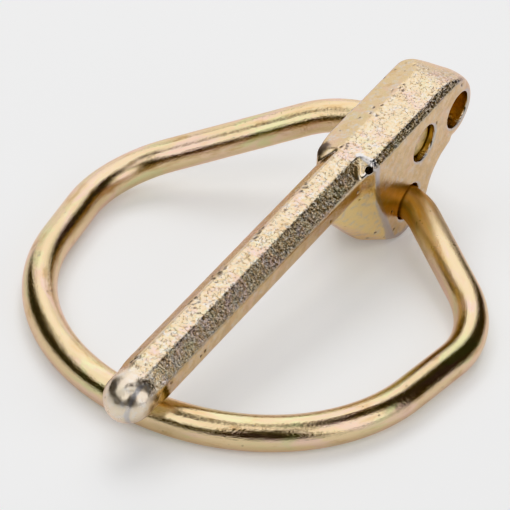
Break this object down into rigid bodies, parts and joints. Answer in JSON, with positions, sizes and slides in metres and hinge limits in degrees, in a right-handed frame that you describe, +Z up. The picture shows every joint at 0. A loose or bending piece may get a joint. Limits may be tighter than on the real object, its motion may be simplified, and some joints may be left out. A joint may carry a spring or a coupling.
{
  "type": "lynch pin",
  "caption": "Lynch pin with a forged head, an octagonal shank and a sprung wire ring that swings over the shaft end and snaps shut to lock the pin in its cross hole.",
  "frame": {"origin": "on the surface that the pin lies on, under the middle of the whole pin with its ring shut", "axes": "+Y from the shank's tip towards the head, +X along the bores towards the side where the ring's wire leaves the lower bore, +Z up"},
  "size_m": [0.0584, 0.076, 0.0204],
  "materials": {
    "pin_steel": "forged steel with a satin yellow zinc coat",
    "ring_steel": "drawn spring wire with a glossy yellow zinc coat"
  },
  "bodies": {
    "pin": {"pin_body": "pin_steel"},
    "ring": {"ring": "ring_steel"}
  },
  "joints": [
    {"name": "ring_swing", "type": "hinge", "parent": "pin", "child": "ring", "pos_m": [0.00326, 0.02444, 0.00963], "axis": [1, 0, 0], "range_deg": [0, 180], "deforming": ["ring"]}
  ]
}
